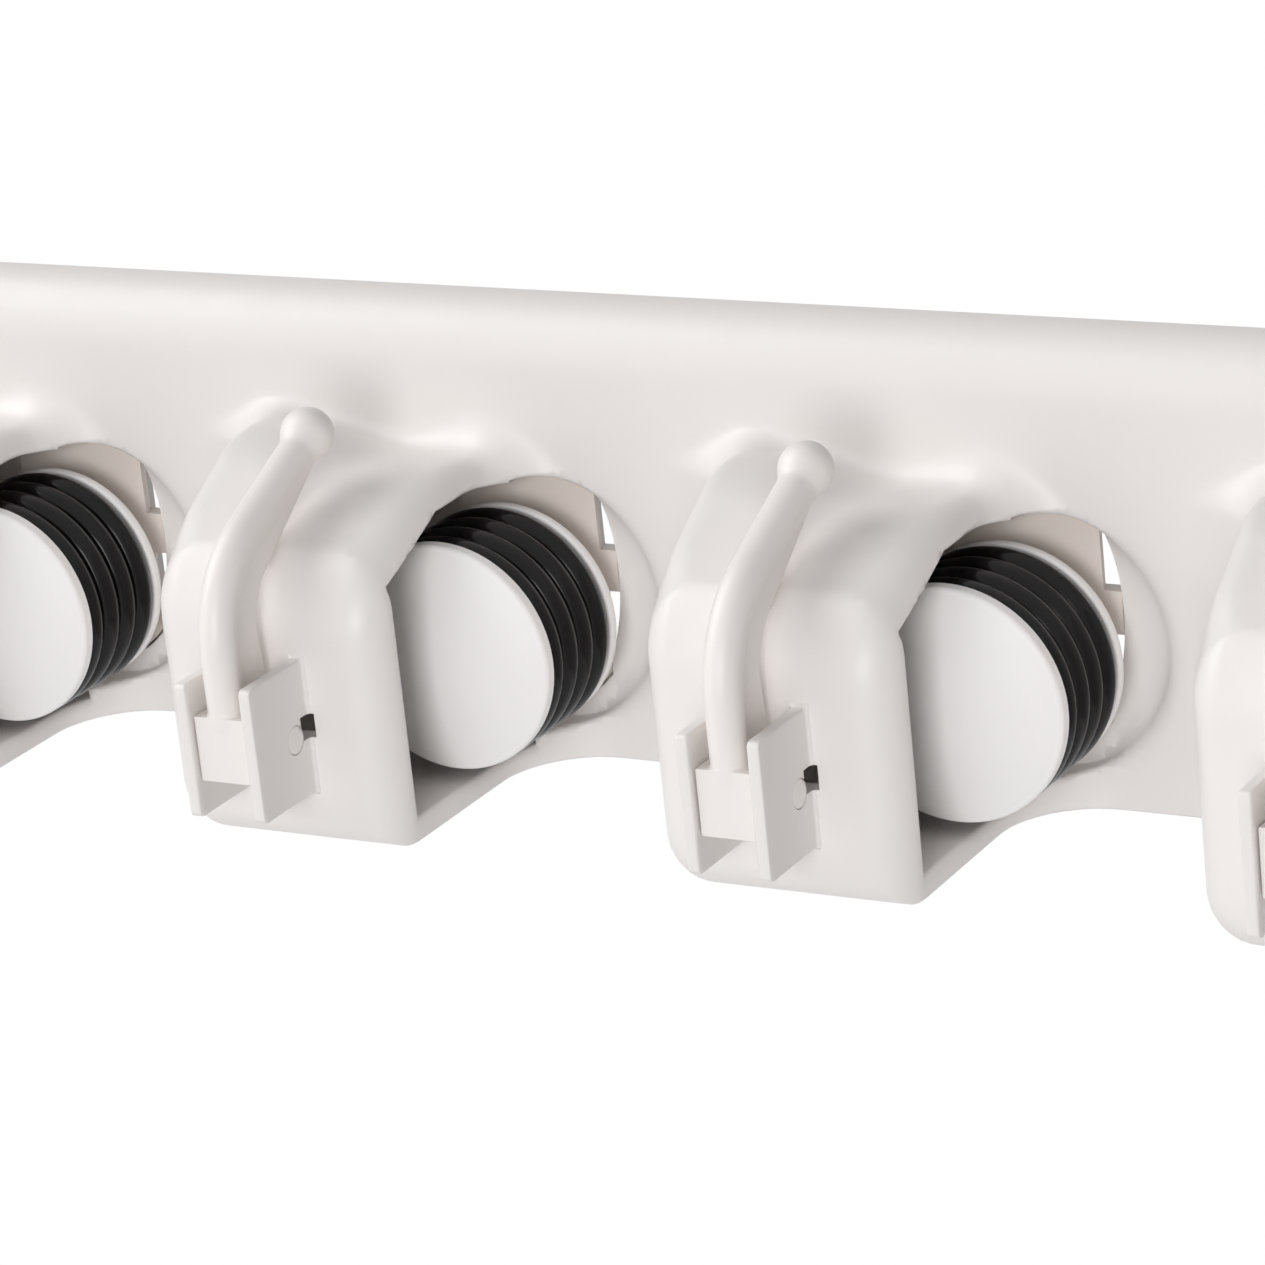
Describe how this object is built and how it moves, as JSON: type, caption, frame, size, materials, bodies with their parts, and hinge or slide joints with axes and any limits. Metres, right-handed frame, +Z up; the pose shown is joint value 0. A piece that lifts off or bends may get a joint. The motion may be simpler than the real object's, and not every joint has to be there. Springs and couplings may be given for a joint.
{
  "type": "wall mop holder rack",
  "caption": "Wall rack for mops and brooms: hollow prongs on a rail, with sliding rubber rollers that wedge upright handles and fold-down hooks on the fronts.",
  "frame": {"origin": "midway between the two wall screw holes, on the wall plane", "axes": "+X along the rail to the right, +Y into the wall, +Z up"},
  "size_m": [0.4232, 0.062, 0.065],
  "materials": {
    "rail_plastic": "satin moulded off-white",
    "hook_plastic": "satin moulded cream white",
    "slider_plastic": "moulded natural acetal",
    "roller_plastic": "satin moulded grey white",
    "grip_rubber": "glossy black rubber",
    "screw_steel": "zinc-plated steel"
  },
  "bodies": {
    "rail": {"rail_shell": "rail_plastic", "keeper_plate_1": "rail_plastic", "keeper_plate_2": "rail_plastic", "keeper_plate_3": "rail_plastic", "keeper_plate_4": "rail_plastic", "keeper_plate_5": "rail_plastic"},
    "slider_1": {"slider_1": "slider_plastic", "axle_screw_1": "screw_steel"},
    "roller_1": {"roller_core_1": "roller_plastic", "grip_rings_1": "grip_rubber", "roller_cap_1": "roller_plastic"},
    "slider_2": {"slider_2": "slider_plastic", "axle_screw_2": "screw_steel"},
    "roller_2": {"roller_core_2": "roller_plastic", "grip_rings_2": "grip_rubber", "roller_cap_2": "roller_plastic"},
    "slider_3": {"slider_3": "slider_plastic", "axle_screw_3": "screw_steel"},
    "roller_3": {"roller_core_3": "roller_plastic", "grip_rings_3": "grip_rubber", "roller_cap_3": "roller_plastic"},
    "slider_4": {"slider_4": "slider_plastic", "axle_screw_4": "screw_steel"},
    "roller_4": {"roller_core_4": "roller_plastic", "grip_rings_4": "grip_rubber", "roller_cap_4": "roller_plastic"},
    "slider_5": {"slider_5": "slider_plastic", "axle_screw_5": "screw_steel"},
    "roller_5": {"roller_core_5": "roller_plastic", "grip_rings_5": "grip_rubber", "roller_cap_5": "roller_plastic"},
    "hook_1": {"hook_1": "hook_plastic"},
    "hook_2": {"hook_2": "hook_plastic"},
    "hook_3": {"hook_3": "hook_plastic"},
    "hook_4": {"hook_4": "hook_plastic"},
    "hook_5": {"hook_5": "hook_plastic"},
    "hook_6": {"hook_6": "hook_plastic"}
  },
  "joints": [
    {"name": "slider_1_slide", "type": "slide", "parent": "rail", "child": "slider_1", "axis": [-0.9063, 0, 0.4226], "range_m": [0, 0.01]},
    {"name": "roller_1_spin", "type": "hinge", "parent": "slider_1", "child": "roller_1", "pos_m": [-0.1732, -0.02, -0.0282], "axis": [0, 1, 0], "continuous": true},
    {"name": "slider_2_slide", "type": "slide", "parent": "rail", "child": "slider_2", "axis": [-0.9063, 0, 0.4226], "range_m": [0, 0.01]},
    {"name": "roller_2_spin", "type": "hinge", "parent": "slider_2", "child": "roller_2", "pos_m": [-0.0972, -0.02, -0.0282], "axis": [0, 1, 0], "continuous": true},
    {"name": "slider_3_slide", "type": "slide", "parent": "rail", "child": "slider_3", "axis": [-0.9063, 0, 0.4226], "range_m": [0, 0.01]},
    {"name": "roller_3_spin", "type": "hinge", "parent": "slider_3", "child": "roller_3", "pos_m": [-0.0212, -0.02, -0.0282], "axis": [0, 1, 0], "continuous": true},
    {"name": "slider_4_slide", "type": "slide", "parent": "rail", "child": "slider_4", "axis": [-0.9063, 0, 0.4226], "range_m": [0, 0.01]},
    {"name": "roller_4_spin", "type": "hinge", "parent": "slider_4", "child": "roller_4", "pos_m": [0.0548, -0.02, -0.0282], "axis": [0, 1, 0], "continuous": true},
    {"name": "slider_5_slide", "type": "slide", "parent": "rail", "child": "slider_5", "axis": [-0.9063, 0, 0.4226], "range_m": [0, 0.01]},
    {"name": "roller_5_spin", "type": "hinge", "parent": "slider_5", "child": "roller_5", "pos_m": [0.1308, -0.02, -0.0282], "axis": [0, 1, 0], "continuous": true},
    {"name": "hook_1_fold", "type": "hinge", "parent": "rail", "child": "hook_1", "pos_m": [-0.19, -0.0525, -0.033], "axis": [1, 0, 0], "range_deg": [0, 90]},
    {"name": "hook_2_fold", "type": "hinge", "parent": "rail", "child": "hook_2", "pos_m": [-0.114, -0.0525, -0.033], "axis": [1, 0, 0], "range_deg": [0, 90]},
    {"name": "hook_3_fold", "type": "hinge", "parent": "rail", "child": "hook_3", "pos_m": [-0.038, -0.0525, -0.033], "axis": [1, 0, 0], "range_deg": [0, 90]},
    {"name": "hook_4_fold", "type": "hinge", "parent": "rail", "child": "hook_4", "pos_m": [0.038, -0.0525, -0.033], "axis": [1, 0, 0], "range_deg": [0, 90]},
    {"name": "hook_5_fold", "type": "hinge", "parent": "rail", "child": "hook_5", "pos_m": [0.114, -0.0525, -0.033], "axis": [1, 0, 0], "range_deg": [0, 90]},
    {"name": "hook_6_fold", "type": "hinge", "parent": "rail", "child": "hook_6", "pos_m": [0.19, -0.0525, -0.033], "axis": [1, 0, 0], "range_deg": [0, 90]}
  ]
}
